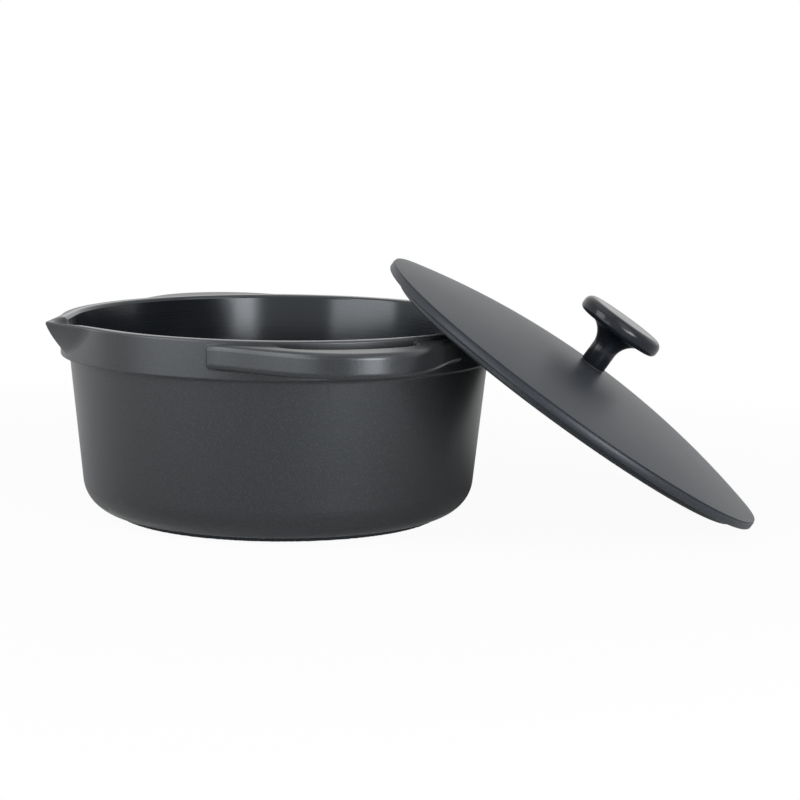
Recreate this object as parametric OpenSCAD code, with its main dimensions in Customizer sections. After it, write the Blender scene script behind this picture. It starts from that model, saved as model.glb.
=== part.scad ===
// Cast iron dutch oven: an open pot with two pouring lips and two cast loop handles,
// and its lid with a mushroom knob, which leans on the right-hand pouring lip
// with its lowest edge on the table.
// X runs through the two pouring lips, Y through the two handles, and Z points up
// from the table. The origin is the centre of the foot.

/* [Pot] */
// Height of the rim above the table
pot_h = 117.8; // [95:0.1:145]
// Outer radius of the pot at the rim
rim_r = 129.8; // [115:0.1:145]
// Thickness of the side wall, measured level
wall_t = 4.6; // [3.5:0.1:7]
// Thickness of the floor above the foot
floor_t = 5; // [3:0.1:8]
// Slope of the side wall from upright, in degrees
wall_taper = 6; // [3:0.1:8]
// Outer radius where the side wall turns into the floor
corner_r = 21; // [14:0.5:32]
// Radius of the foot that stands on the table
foot_r = 97; // [80:0.5:100]
// Height of the foot below the floor
foot_h = 2; // [1:0.1:4]
// Height of the collar round the top of the pot
collar_h = 22.3; // [21:0.1:30]
// Step from the collar in to the side wall below it
collar_step = 5.3; // [3:0.1:6]
// Radius of the collar's lower edge
collar_round = 1.2; // [0.5:0.1:2.5]
// Rounding of the rim's outer edge
rim_round = 1.2; // [0.5:0.1:2]
// Rounding of the rim's inner edge
rim_inner_round = 2; // [0.5:0.1:2.5]

/* [Pouring lips] */
// Reach of a pouring lip beyond the rim
lip_reach = 12.3; // [8:0.1:16]
// Rounding of the lip's tip, seen from above
lip_tip_r = 3.5; // [3:0.1:7]
// Depth of the lip's flare below the rim
lip_depth = 19; // [12:0.5:20]
// How fast the flare draws in on its way down: 1 for a straight slope, more for a bulge
lip_curve = 1.35; // [1.1:0.05:2.5]
// Half of the angle that a lip's outside takes up round the collar, in degrees
lip_root_angle = 20; // [16:0.5:26]
// Half of the angle that a lip's channel takes up round the rim, in degrees
lip_half_angle = 24; // [18:0.5:28]
// Width of the rim face at the lip's tip
lip_edge_w = 5.8; // [4:0.1:8]
// Depth of the pouring channel below the rim
channel_depth = 15.5; // [8:0.5:18]
// Radius of the round scoop at the channel's end, seen from above
scoop_r = 26; // [15:0.5:30]

/* [Handles] */
// Reach of a handle beyond the rim
handle_reach = 39.2; // [30:0.1:50]
// Distance between the outer ends of a handle's two roots
handle_span = 148; // [120:1:160]
// Width of the grip in its middle, seen from above
grip_w = 23; // [14:0.5:26]
// Width of the finger gap where it meets the collar
finger_gap_w = 86; // [70:1:96]
// Half length over which the grip's outer edge bends gently, before its corner
shoulder_w = 42; // [30:1:50]
// Height of the handle from its lower face to its upper face
handle_h = 14.4; // [10:0.1:18]
// Drop of the handle's upper face below the rim
handle_drop = 2.2; // [1.5:0.1:5]
// How far a handle's root stands proud of the collar
root_proud = 1.5; // [1:0.1:3]
// Rounding of the handle's long edges
handle_round = 3.2; // [1.5:0.1:5]

/* [Lid] */
// Overhang of the lid's edge beyond the rim
lid_overhang = 1.6; // [1:0.1:6]
// Rise of the dome from its edge to its centre
dome_rise = 16.8; // [12:0.1:24]
// Height of the lid's outer edge face
lid_edge_h = 5.3; // [4:0.1:7]
// Rounding of the edge face's lower corner
lid_edge_round = 1.2; // [0.5:0.1:2]
// Thickness of the dome
lid_t = 3; // [2.5:0.1:5]
// Depth of the locating ring below the lid's edge
ring_depth = 4.2; // [3:0.1:6]
// Width of the locating ring
ring_w = 4.6; // [3.5:0.1:6]
// Gap between the locating ring and the inside of the rim when the lid is on
ring_gap = 1; // [0.5:0.1:2]
// Radius of the pad under the lid's centre
pad_r = 11; // [9:0.5:16]
// Thickness of the lid at its centre, where the knob's screw goes through
pad_t = 6; // [5:0.1:8]

/* [Lid at rest] */
// Slope of the leaning lid from level, in degrees
lean_tilt = 34.6; // [30:0.1:40]
// Direction in which the leaning lid slopes down, in degrees from the X axis
lean_azimuth = -23.1; // [-30:0.1:-15]
// Distance from the lid's axis to the pouring lip, across the slope
lean_shift = 59.4; // [50:0.1:70]
// Gap that the leaning lid keeps from the corner of the pouring lip
lean_gap = 0.6; // [0.3:0.05:2]

/* [Knob] */
// Height of the knob
knob_h = 34.2; // [28:0.1:42]
// Radius of the knob's cap
cap_r = 26.6; // [20:0.1:32]
// Thickness of the cap's round edge
cap_t = 10.3; // [7:0.1:12]
// Radius of the knob's stem
stem_r = 7.75; // [7:0.05:10]
// Thickness of the seal under the knob
seal_t = 0.8; // [0.4:0.1:2]
// Inset of the seal from the stem's outside
seal_inset = 0.35; // [0.1:0.05:1]

/* [Fasteners] */
// Radius of the knob's screw
screw_r = 3; // [2:0.5:3.5]
// Length of the screw below its head
screw_len = 16; // [13:0.5:20]
// Radius of the screw's head
screw_head_r = 5.5; // [4.5:0.1:6.5]
// Height of the screw's head
screw_head_h = 3.6; // [2.5:0.1:4.5]
// Radial clearance round the screw in the lid, the seal and the washers
screw_clearance = 0.3; // [0.15:0.05:0.6]
// Radial clearance between the screw and the brass insert's bore
thread_clearance = 0.03; // [0.02:0.01:0.08]
// Thickness of the brass insert's wall
insert_wall = 1.4; // [1:0.1:2]
// Length of the brass insert in the knob
insert_len = 12; // [9:0.5:14]
// Outer radius of both washers
washer_r = 6.2; // [5:0.1:8]
// Thickness of the flat washer
washer_t = 1; // [0.6:0.1:2]
// Thickness of the spring washer
spring_washer_t = 1.5; // [1:0.1:2.5]
// Width of the spring washer's split
split_w = 1.2; // [0.6:0.1:2]

/* [Hidden] */
$fn = 96;

// ---------------------------------------------------------------- pot values
taper = tan(wall_taper);
collar_z = pot_h - collar_h;                       // where the collar meets the side wall
wall_top_r = rim_r - collar_step;                  // side wall just below the collar
floor_z = foot_h + floor_t;                        // inner floor
inner_rim_r = outer_wall_r(pot_h) - wall_t;
mid_collar_r = (inner_rim_r + rim_r) / 2;          // middle of the collar's wall
corner_z = foot_h + corner_r;
corner_x = outer_wall_r(corner_z) - corner_r / cos(wall_taper);
inner_corner_r = corner_r - wall_t;
inner_corner_z = floor_z + inner_corner_r;
inner_corner_x = outer_wall_r(inner_corner_z) - wall_t - inner_corner_r / cos(wall_taper);
foot_edge = 0.6;                                   // bevel round the foot's lower edge
lip_steps = 6;
flank_r = 10;                                      // rounding where a lip's two flanks meet
flank_end_r = 2;
flank_reach = (inner_rim_r - flank_r) / cos(lip_half_angle) + flank_r - inner_rim_r;
channel_inset = 0.3;                               // keeps the channel's lower end inside the wall
arc_steps = 14;

// -------------------------------------------------------------- handle values
handle_top_z = pot_h - handle_drop;
root_r = rim_r + root_proud;
root_angle = asin(handle_span / 2 / root_r);
gap_angle = asin(finger_gap_w / 2 / mid_collar_r);
leg_part = 0.72;                                   // share of the outline before the root
grip_steps = 18;
root_blend = 24;                                   // how softly the outline leaves the root
gap_corner = 17;                                   // how softly the finger gap's corners turn
root_end = [handle_span / 2, root_r * cos(root_angle)];
outer_outline = [
    [0, rim_r + handle_reach],
    [shoulder_w, rim_r + handle_reach],
    root_end + root_blend * [-cos(root_angle), sin(root_angle)],
    root_end];
gap_end = mid_collar_r * [sin(gap_angle), cos(gap_angle)];
inner_outline = [
    [0, rim_r + handle_reach - grip_w],
    [finger_gap_w / 3, rim_r + handle_reach - grip_w],
    gap_end + [-2, gap_corner],
    gap_end];

// ----------------------------------------------------------------- lid values
lid_r = rim_r + lid_overhang;
ring_r = inner_rim_r - ring_gap;
dome_r = (pow(lid_r, 2) + pow(dome_rise, 2)) / (2 * dome_rise);
dome_centre_z = dome_rise - dome_r;
under_r = dome_r - lid_t;                          // radius of the hollow under the dome
seat_r = stem_r + 0.75;                            // flat on which the knob's seal sits
seat_z = dome_height(dome_r, seat_r);
pad_z = seat_z - pad_t;
ring_inner_r = ring_r - ring_w;
ring_round = 1.5;
crease_round = 0.4;

// The lid's lowest edge touches the table, and the hollow under its dome
// rests over the tip of the right-hand pouring lip.
lean_z = (lid_r - lid_edge_round) * sin(lean_tilt)
    + (lid_edge_h - lid_edge_round) * cos(lean_tilt) + lid_edge_round;
sphere_z = lean_z + dome_centre_z * cos(lean_tilt);
sphere_reach = sqrt(pow(under_r - lean_gap, 2) - pow(pot_h - sphere_z, 2));
lean_run = (rim_r + lip_reach) * cos(lean_azimuth)
    - sqrt(pow(sphere_reach, 2) - pow(lean_shift, 2)) - dome_centre_z * sin(lean_tilt);
lean_side = -(rim_r + lip_reach) * sin(lean_azimuth) - lean_shift;

// ---------------------------------------------------------------- knob values
knob_z = seat_z + seal_t;
cap_round = cap_t / 2;
cap_ledge = 0.85;                                  // flat under the cap, outside the flare
flare_end_r = cap_r - cap_round - cap_ledge;       // where the flare runs into the cap
flare_r = flare_end_r - stem_r;
flare_z = knob_h - cap_t - flare_r;
hole_r = screw_r + screw_clearance;
insert_r = screw_r + thread_clearance + insert_wall;
insert_fit = 0.02;                                 // radial fit of the insert in the knob
insert_inset = 0.3;                                // the insert ends just inside the stem
washer_top_z = pad_z;
spring_top_z = washer_top_z - washer_t;
head_top_z = spring_top_z - spring_washer_t;
drive_w = 1.4;                                     // slot in the screw's head
drive_depth = 1.6;

// ------------------------------------------------------------------ functions
function outer_wall_r(z) = wall_top_r + (z - collar_z) * taper;
function inner_wall_r(drop) = outer_wall_r(pot_h - drop) - wall_t;
function dome_height(radius, r) = sqrt(pow(radius, 2) - pow(r, 2)) + dome_centre_z;
function arc(centre, radius, from, to, steps = arc_steps) =
    [for (i = [0:steps]) let (a = from + (to - from) * i / steps)
        centre + radius * [cos(a), sin(a)]];
function bezier(p, u) = pow(1 - u, 3) * p[0] + 3 * pow(1 - u, 2) * u * p[1]
    + 3 * (1 - u) * u * u * p[2] + pow(u, 3) * p[3];

// Outer and inner edge of the handle at a share u of its half outline.
function outer_point(u) = bezier(outer_outline, u);
function inner_point(u) = u < leg_part
    ? bezier(inner_outline, u / leg_part)
    : let (a = gap_angle + (root_angle - gap_angle) * (u - leg_part) / (1 - leg_part))
        mid_collar_r * [sin(a), cos(a)];

// Rounded section of the handle between its inner and outer edge points.
function handle_section(inner, outer) =
    let (length = norm(outer - inner), along = (outer - inner) / length,
         round_r = min(handle_round, length / 2.2),
         low = handle_top_z - handle_h)
    [for (corner = [0:3]) for (i = [0:4])
        let (a = corner * 90 + i * 22.5,
             p = (corner == 0 || corner == 3 ? length - round_r : round_r) + round_r * cos(a),
             z = (corner < 2 ? handle_h - round_r : round_r) + round_r * sin(a),
             at = inner + p * along)
        [at[0], at[1], low + z]];

// -------------------------------------------------------------------- modules
module pot_shell() {
    rim_in = arc([inner_rim_r + rim_inner_round, pot_h - rim_inner_round], rim_inner_round, 90, 180, 5);
    rim_out = arc([rim_r - rim_round, pot_h - rim_round], rim_round, 0, 90, 5);
    hem = arc([rim_r - collar_round, collar_z + collar_round], collar_round, -90, 0, 5);
    corner_out = arc([corner_x, corner_z], corner_r,
        -acos((foot_r - corner_x) / corner_r), -wall_taper);
    corner_in = arc([inner_corner_x, inner_corner_z], inner_corner_r, -wall_taper, -90);
    rotate_extrude()
        polygon(concat(
            [[0, 0], [foot_r - foot_edge, 0], [foot_r, foot_edge]],
            corner_out, [[wall_top_r, collar_z]], hem, rim_out, rim_in, corner_in, [[0, floor_z]]));
}

// One pouring lip's flare, grown from discs that draw in towards its lower end.
module lip_flare() {
    hull() {
        for (i = [0:lip_steps]) {
            drop = rim_round + (lip_depth - rim_round) * i / lip_steps;
            reach = lip_reach * (1 - pow(drop / lip_depth, lip_curve));
            translate([rim_r + reach - lip_tip_r, 0, pot_h - drop])
                cylinder(r = lip_tip_r, h = 0.01, $fn = 32);
        }
        translate([rim_r + lip_reach - lip_tip_r, 0, pot_h - 0.02])
            cylinder(r = lip_tip_r - rim_round, h = 0.02, $fn = 32);
        for (side = [-1, 1])
            rotate(side * lip_root_angle)
                translate([mid_collar_r + 0.6, 0, pot_h - lip_depth])
                    cylinder(r = 0.8, h = lip_depth, $fn = 16);
    }
}

// Discs that draw back to the inner wall on their way down, as the channel's floor does.
module channel_discs(radius, reach) {
    for (i = [0:lip_steps]) {
        drop = channel_depth * i / lip_steps;
        front = inner_wall_r(drop) + reach * (1 - pow(drop / channel_depth, 2)) - channel_inset;
        translate([front - radius, 0, pot_h - drop])
            cylinder(r = radius, h = i == 0 ? 1 : 0.01, $fn = 48);
    }
}

// The channel inside one pouring lip: a round scoop, and straight flanks that lead to it.
module lip_channel() {
    hull()
        channel_discs(scoop_r, rim_r + lip_reach - lip_edge_w - inner_rim_r);
    hull() {
        channel_discs(flank_r, flank_reach);
        for (side = [-1, 1])
            rotate(side * lip_half_angle)
                for (drop = [-1, channel_depth])
                    translate([inner_wall_r(max(drop, 0)) - flank_end_r - channel_inset, 0, pot_h - drop])
                        cylinder(r = flank_end_r, h = 0.01, $fn = 24);
    }
}

// One loop handle: rounded sections swept from root to root.
module loop_handle() {
    half = [for (i = [0:grip_steps]) i / grip_steps];
    right = [for (u = half) handle_section(inner_point(u), outer_point(u))];
    left = [for (i = [grip_steps:-1:1])
        [for (p = right[i]) [-p[0], p[1], p[2]]]];
    rings = concat(left, right);
    count = len(rings[0]);
    last = len(rings) - 1;
    points = [for (ring = rings) for (p = ring) p];
    sides = [for (r = [0:last - 1]) for (i = [0:count - 1])
        [r * count + i, (r + 1) * count + i,
         (r + 1) * count + (i + 1) % count, r * count + (i + 1) % count]];
    caps = [[for (i = [0:count - 1]) i], [for (i = [count - 1:-1:0]) last * count + i]];
    polyhedron(points, concat(sides, caps), convexity = 6);
}

module pot() {
    color([0.24, 0.25, 0.27])
        difference() {
            union() {
                pot_shell();
                for (turn = [0, 180])
                    rotate(turn) {
                        lip_flare();
                        loop_handle();
                    }
            }
            for (turn = [0, 180])
                rotate(turn)
                    lip_channel();
        }
}

// Everything on the lid is drawn about the lid's own axis and placed here.
module place_lid() {
    rotate(lean_azimuth)
        translate([lean_run, lean_side, lean_z])
            rotate([0, lean_tilt, 0])
                children();
}

module lid() {
    dome = [for (i = [0:24]) let (r = seat_r + (lid_r - crease_round - seat_r) * i / 24)
        [r, dome_height(dome_r, r)]];
    hollow = [for (i = [0:24]) let (r = ring_inner_r + (pad_r - ring_inner_r) * i / 24)
        [r, dome_height(under_r, r)]];
    ring_z = -lid_edge_h - ring_depth;
    edge = concat([[lid_r, -crease_round]],
        arc([lid_r - lid_edge_round, lid_edge_round - lid_edge_h], lid_edge_round, 0, -90, 6));
    ring = concat([[ring_r, -lid_edge_h]],
        arc([ring_r - ring_round, ring_z + ring_round], ring_round, 0, -90, 5),
        arc([ring_inner_r + ring_round, ring_z + ring_round], ring_round, -90, -180, 5));
    color([0.33, 0.34, 0.37])
        place_lid()
            difference() {
                rotate_extrude()
                    polygon(concat([[0, seat_z]], dome, edge, ring, hollow,
                        [[pad_r, pad_z], [0, pad_z]]));
                translate([0, 0, pad_z - 1])
                    cylinder(r = hole_r, h = pad_t + 2);
            }
}

module knob() {
    cap_centre = [cap_r - cap_round, knob_h - cap_round];
    color([0.10, 0.11, 0.12])
        place_lid()
            translate([0, 0, knob_z])
                difference() {
                    rotate_extrude()
                        polygon(concat([[0, 0], [stem_r, 0]],
                            arc([flare_end_r, flare_z], flare_r, 180, 90),
                            arc(cap_centre, cap_round, -88, 90),
                            [[0, knob_h]]));
                    translate([0, 0, -1])
                        cylinder(r = insert_r + insert_fit, h = insert_len + insert_inset + 1);
                }
}

module knob_insert() {
    color([0.75, 0.6, 0.3])
        place_lid()
            translate([0, 0, knob_z + insert_inset])
                difference() {
                    cylinder(r = insert_r, h = insert_len);
                    translate([0, 0, -1])
                        cylinder(r = screw_r + thread_clearance, h = insert_len);
                }
}

module knob_seal() {
    color([0.06, 0.06, 0.06])
        place_lid()
            translate([0, 0, seat_z])
                difference() {
                    cylinder(r = stem_r - seal_inset, h = seal_t);
                    translate([0, 0, -1])
                        cylinder(r = hole_r, h = seal_t + 2);
                }
}

module flat_washer() {
    color([0.7, 0.71, 0.72])
        place_lid()
            translate([0, 0, washer_top_z - washer_t])
                difference() {
                    cylinder(r = washer_r, h = washer_t);
                    translate([0, 0, -1])
                        cylinder(r = hole_r, h = washer_t + 2);
                }
}

module spring_washer() {
    color([0.6, 0.61, 0.62])
        place_lid()
            translate([0, 0, spring_top_z - spring_washer_t])
                difference() {
                    cylinder(r = washer_r - 0.4, h = spring_washer_t);
                    translate([0, 0, -1])
                        cylinder(r = hole_r, h = spring_washer_t + 2);
                    translate([0, -split_w / 2, -1])
                        cube([washer_r + 1, split_w, spring_washer_t + 2]);
                }
}

module knob_screw() {
    color([0.72, 0.73, 0.75])
        place_lid()
            difference() {
                union() {
                    translate([0, 0, head_top_z - screw_head_h])
                        cylinder(r = screw_head_r, h = screw_head_h);
                    translate([0, 0, head_top_z - 0.5])
                        cylinder(r = screw_r, h = screw_len + 0.5);
                }
                translate([-screw_head_r - 1, -drive_w / 2, head_top_z - screw_head_h - 1])
                    cube([2 * screw_head_r + 2, drive_w, drive_depth + 1]);
            }
}

pot();
lid();
knob();
knob_insert();
knob_seal();
flat_washer();
spring_washer();
knob_screw();
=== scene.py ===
"""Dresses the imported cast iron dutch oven: an open pot and the lid that leans on its pouring lip.

The pot is wrapped as one casting, with the small fillets that a mould leaves. The lid, the knob and
what fastens them are turned or wrapped about the lid's own axis. Forms are worked out in millimetres.
"""

import logging
import math
from collections.abc import Callable, Sequence
from dataclasses import dataclass
from enum import Enum

import bpy
import numpy as np
from mathutils import Matrix, Vector


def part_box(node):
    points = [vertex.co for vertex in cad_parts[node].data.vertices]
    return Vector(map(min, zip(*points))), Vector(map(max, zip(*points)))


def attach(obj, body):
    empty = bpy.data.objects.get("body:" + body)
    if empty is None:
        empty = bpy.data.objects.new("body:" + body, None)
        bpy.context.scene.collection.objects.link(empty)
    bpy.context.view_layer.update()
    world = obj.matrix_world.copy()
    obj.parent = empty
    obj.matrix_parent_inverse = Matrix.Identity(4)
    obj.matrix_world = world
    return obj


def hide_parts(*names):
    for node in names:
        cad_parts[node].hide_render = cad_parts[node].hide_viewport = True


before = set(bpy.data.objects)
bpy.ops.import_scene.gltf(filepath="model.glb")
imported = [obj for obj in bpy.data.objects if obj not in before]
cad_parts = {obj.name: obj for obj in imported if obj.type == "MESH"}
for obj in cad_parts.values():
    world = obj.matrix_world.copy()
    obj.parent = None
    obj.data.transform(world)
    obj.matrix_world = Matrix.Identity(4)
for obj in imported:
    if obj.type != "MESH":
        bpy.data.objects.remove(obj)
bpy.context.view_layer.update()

log = logging.getLogger("dutch_oven")

Array = np.ndarray
Colour = tuple[float, float, float]
Outline = Sequence[tuple[float, float]]

MM = 0.001
WHITE: Colour = (1.0, 1.0, 1.0)


# ---- forms ----


def rounded_corner(a: Array, b: Array, radius: float, lean: float = 0.0) -> Array:
    """Keeps what two solids share, with a true arc where two of their flat faces meet.

    Args:
        a: Signed distances to the first solid.
        b: Signed distances to the second solid.
        radius: Radius of the arc in millimetres.
        lean: Cosine of the angle between the faces' normals, 0 for square ones.

    Returns:
        The signed distances to the shared solid.
    """
    a, b = a + radius, b + radius
    square = (a * a + b * b - 2 * lean * a * b) / (1 - lean * lean)
    corner = (a > lean * b) & (b > lean * a)
    return np.where(corner, np.sqrt(np.maximum(square, 0)), np.maximum(a, b)) - radius


@dataclass(frozen=True)
class Form:
    """A solid given by its signed distance in millimetres, negative inside."""

    distance: Callable[[Array, Array, Array], Array]

    def __call__(self, x: Array, y: Array, z: Array) -> Array:
        """Gives the signed distance at the points with these coordinates."""
        return self.distance(x, y, z)

    def joined(self, other: "Form", fillet: float) -> "Form":
        """Adds another solid, with a fillet along the join."""
        return Form(lambda x, y, z: -rounded_corner(-self(x, y, z), -other(x, y, z), fillet))

    def within(self, other: "Form", edge: float, lean: float = 0.0) -> "Form":
        """Keeps what lies in another solid, with the edges rounded."""
        return Form(lambda x, y, z: rounded_corner(self(x, y, z), other(x, y, z), edge, lean))

    def cut_by(self, other: "Form", edge: float) -> "Form":
        """Takes another solid away, with the edges rounded."""
        return Form(lambda x, y, z: rounded_corner(self(x, y, z), -other(x, y, z), edge))

    def slope(self, points: Array, step: float = 0.01) -> tuple[Array, Array]:
        """Measures the distance and its gradient.

        Args:
            points: One row of x, y and z for each point.
            step: Half the stretch over which the gradient is measured.

        Returns:
            The distances and the gradients at the points.
        """
        gradient = np.empty_like(points)
        for axis in range(3):
            ends = []
            for sign in (1, -1):
                moved = points.copy()
                moved[:, axis] += sign * step
                ends.append(self(*moved.T))
            gradient[:, axis] = (ends[0] - ends[1]) / (2 * step)
        return self(*points.T), gradient


def below(height: float) -> Form:
    """Everything under a level plane."""
    return Form(lambda x, y, z: z - height)


def above(height: float) -> Form:
    """Everything over a level plane."""
    return Form(lambda x, y, z: height - z)


def bar(radius: float) -> Form:
    """An endless round bar about the z axis."""
    return Form(lambda x, y, z: np.hypot(x, y) - radius)


def teardrop(x: Array, y: Array, radius: Array, tip_radius: float, reach: Array) -> Array:
    """Distance in plan to a circle drawn out to two opposite rounded tips along x.

    Args:
        x: Distances from the centre along the line of the tips.
        y: Distances across it.
        radius: Radius of the circle.
        tip_radius: Rounding of the tips.
        reach: How far the tips stand out from the circle.

    Returns:
        The signed distances.
    """
    along, across = np.abs(x), np.abs(y)
    centre = radius + reach - tip_radius
    lean = np.minimum((radius - tip_radius) / centre, 1 - 1e-9)
    rise = np.sqrt(1 - lean**2)
    foot = rise * along - lean * across
    return np.where(
        foot < 0,
        np.hypot(along, across) - radius,
        np.where(
            foot > rise * centre,
            np.hypot(along - centre, across) - tip_radius,
            rise * across + lean * along - radius,
        ),
    )


def outline_distance(x: Array, y: Array, outline: Array) -> Array:
    """Signed distance in plan to a closed outline.

    Args:
        x: First coordinates of the points.
        y: Second coordinates of the points.
        outline: Corners of the outline in order, one a row.

    Returns:
        The distances, negative inside.
    """
    nearest = np.full(np.broadcast(x, y).shape, np.inf)
    inside = np.zeros(nearest.shape, dtype=bool)
    for start, end in zip(outline, np.roll(outline, -1, axis=0)):
        run, rise = end - start
        share = np.clip(((x - start[0]) * run + (y - start[1]) * rise) / (run**2 + rise**2), 0, 1)
        gap = (x - start[0] - share * run) ** 2 + (y - start[1] - share * rise) ** 2
        nearest = np.minimum(nearest, gap)
        if rise:
            spans = (start[1] > y) != (end[1] > y)
            inside ^= spans & (x < start[0] + run * (y - start[1]) / rise)
    return np.where(inside, -1, 1) * np.sqrt(nearest)


def bezier(points: Sequence[Sequence[float]], steps: int) -> Outline:
    """Points along a cubic curve, both ends included.

    Args:
        points: The curve's start, its two handles and its end.
        steps: How many steps there are along it.

    Returns:
        The points in order.
    """
    return [
        tuple(
            (1 - u) ** 3 * a + 3 * (1 - u) ** 2 * u * b + 3 * (1 - u) * u**2 * c + u**3 * d
            for a, b, c, d in zip(*points)
        )
        for u in (i / steps for i in range(steps + 1))
    ]


def arc(centre: Sequence[float], radius: float, start: float, end: float, steps: int) -> Outline:
    """Points along an arc from one angle to another, in degrees."""
    turns = (math.radians(start + (end - start) * i / steps) for i in range(steps + 1))
    return [(centre[0] + radius * math.cos(a), centre[1] + radius * math.sin(a)) for a in turns]


# ---- meshes ----


@dataclass
class Surface:
    """A mesh in the making, in millimetres.

    Attributes:
        vertices: One row of x, y and z for each vertex.
        faces: Four vertex numbers for each face.
        normals: The form's own normals at the vertices, if they are known.
    """

    vertices: Array
    faces: Array
    normals: Array | None = None

    def as_object(self, name: str) -> bpy.types.Object:
        """Makes a smooth Blender object in metres.

        Args:
            name: Name of the new object.

        Returns:
            The object, linked to the scene.
        """
        mesh = bpy.data.meshes.new(name)
        mesh.vertices.add(len(self.vertices))
        mesh.vertices.foreach_set("co", (self.vertices * MM).astype(np.float32).ravel())
        corners = self.faces.shape[1]
        mesh.loops.add(self.faces.size)
        mesh.loops.foreach_set("vertex_index", self.faces.astype(np.int32).ravel())
        mesh.polygons.add(len(self.faces))
        starts = np.arange(0, self.faces.size, corners, dtype=np.int32)
        mesh.polygons.foreach_set("loop_start", starts)
        mesh.update(calc_edges=True)
        mesh.validate()
        mesh.shade_smooth()
        if self.normals is not None:
            mesh.normals_split_custom_set_from_vertices(self.normals.tolist())
        piece = bpy.data.objects.new(name, mesh)
        bpy.context.collection.objects.link(piece)
        return piece


@dataclass(frozen=True)
class Net:
    """Wraps a form in a closed mesh, with one vertex in each cell of a grid that its surface crosses.

    Attributes:
        low: Lowest corner of the grid, outside the form.
        high: Highest corner of the grid, outside the form.
        cell: Size of a cell.
    """

    low: tuple[float, float, float]
    high: tuple[float, float, float]
    cell: float

    def wrap(self, form: Form) -> Surface:
        """Makes the mesh and draws its vertices on to the form's surface.

        Args:
            form: The solid to wrap.

        Returns:
            The mesh, with the form's normals.
        """
        axes = [np.arange(a, b + self.cell, self.cell) for a, b in zip(self.low, self.high)]
        values = form(*np.meshgrid(*axes, indexing="ij", sparse=True))
        shape = np.array(values.shape)
        owners, places, quads = [], [], []
        for axis in range(3):
            second, third = (axis + 1) % 3, (axis + 2) % 3
            here = np.moveaxis(values, axis, 0)
            crossed = np.moveaxis((here[:-1] < 0) != (here[1:] < 0), 0, axis)
            index = np.argwhere(crossed)
            step = np.zeros(3, dtype=int)
            step[axis] = 1
            start, end = values[tuple(index.T)], values[tuple((index + step).T)]
            place = index.astype(float)
            place[:, axis] += start / (start - end)
            around = []
            for back_second, back_third in ((0, 0), (1, 0), (1, 1), (0, 1)):
                owner = index.copy()
                owner[:, second] -= back_second
                owner[:, third] -= back_third
                around.append(np.ravel_multi_index(tuple(owner.T), shape))
                places.append(place)
            owners.extend(around)
            quad = np.stack(around, axis=1)
            quad[start > 0] = quad[start > 0][:, ::-1]
            quads.append(quad)
        used, number = np.unique(np.concatenate(owners), return_inverse=True)
        places = np.concatenate(places)
        count = np.bincount(number)
        vertices = np.stack(
            [np.bincount(number, weights=places[:, axis]) / count for axis in range(3)], axis=1
        )
        vertices = vertices * self.cell + np.array(self.low)
        faces = np.searchsorted(used, np.concatenate(quads))
        return self.settle(form, Surface(vertices, faces))

    def settle(self, form: Form, surface: Surface, passes: int = 3) -> Surface:
        """Draws the vertices of a mesh on to the form's surface.

        Args:
            form: The solid that the mesh wraps.
            surface: The mesh.
            passes: How many steps are taken.

        Returns:
            The mesh, with the form's normals.
        """
        points = surface.vertices
        for _ in range(passes):
            value, gradient = form.slope(points)
            size = np.maximum((gradient**2).sum(axis=1), 0.25)
            step = gradient * (value / size)[:, None]
            points = points - np.clip(step, -self.cell, self.cell)
        gradient = form.slope(points)[1]
        lengths = np.linalg.norm(gradient, axis=1, keepdims=True)
        return Surface(points, surface.faces, gradient / np.maximum(lengths, 1e-9))

    def thin_out(self, form: Form, surface: Surface, triangles: int, name: str) -> Surface:
        """Merges faces where the surface is flat, and settles what is left.

        Args:
            form: The solid that the mesh wraps.
            surface: The mesh.
            triangles: How many triangles may stay.
            name: A name for the passing object.

        Returns:
            The thinner mesh, with the form's normals.
        """
        if 2 * len(surface.faces) <= triangles:
            return surface
        passing = Surface(surface.vertices, surface.faces).as_object(name)
        thin = passing.modifiers.new("thin", "DECIMATE")
        thin.ratio = triangles / (2 * len(surface.faces))
        thin.use_collapse_triangulate = True
        shown = passing.evaluated_get(bpy.context.evaluated_depsgraph_get())
        mesh = shown.to_mesh()
        points = np.empty(3 * len(mesh.vertices), dtype=np.float32)
        mesh.vertices.foreach_get("co", points)
        corners = np.empty(len(mesh.loops), dtype=np.int32)
        mesh.loops.foreach_get("vertex_index", corners)
        shown.to_mesh_clear()
        old = passing.data
        bpy.data.objects.remove(passing)
        bpy.data.meshes.remove(old)
        thinner = Surface(points.reshape(-1, 3) / MM, corners.reshape(-1, 3))
        return self.settle(form, thinner, passes=2)


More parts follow.
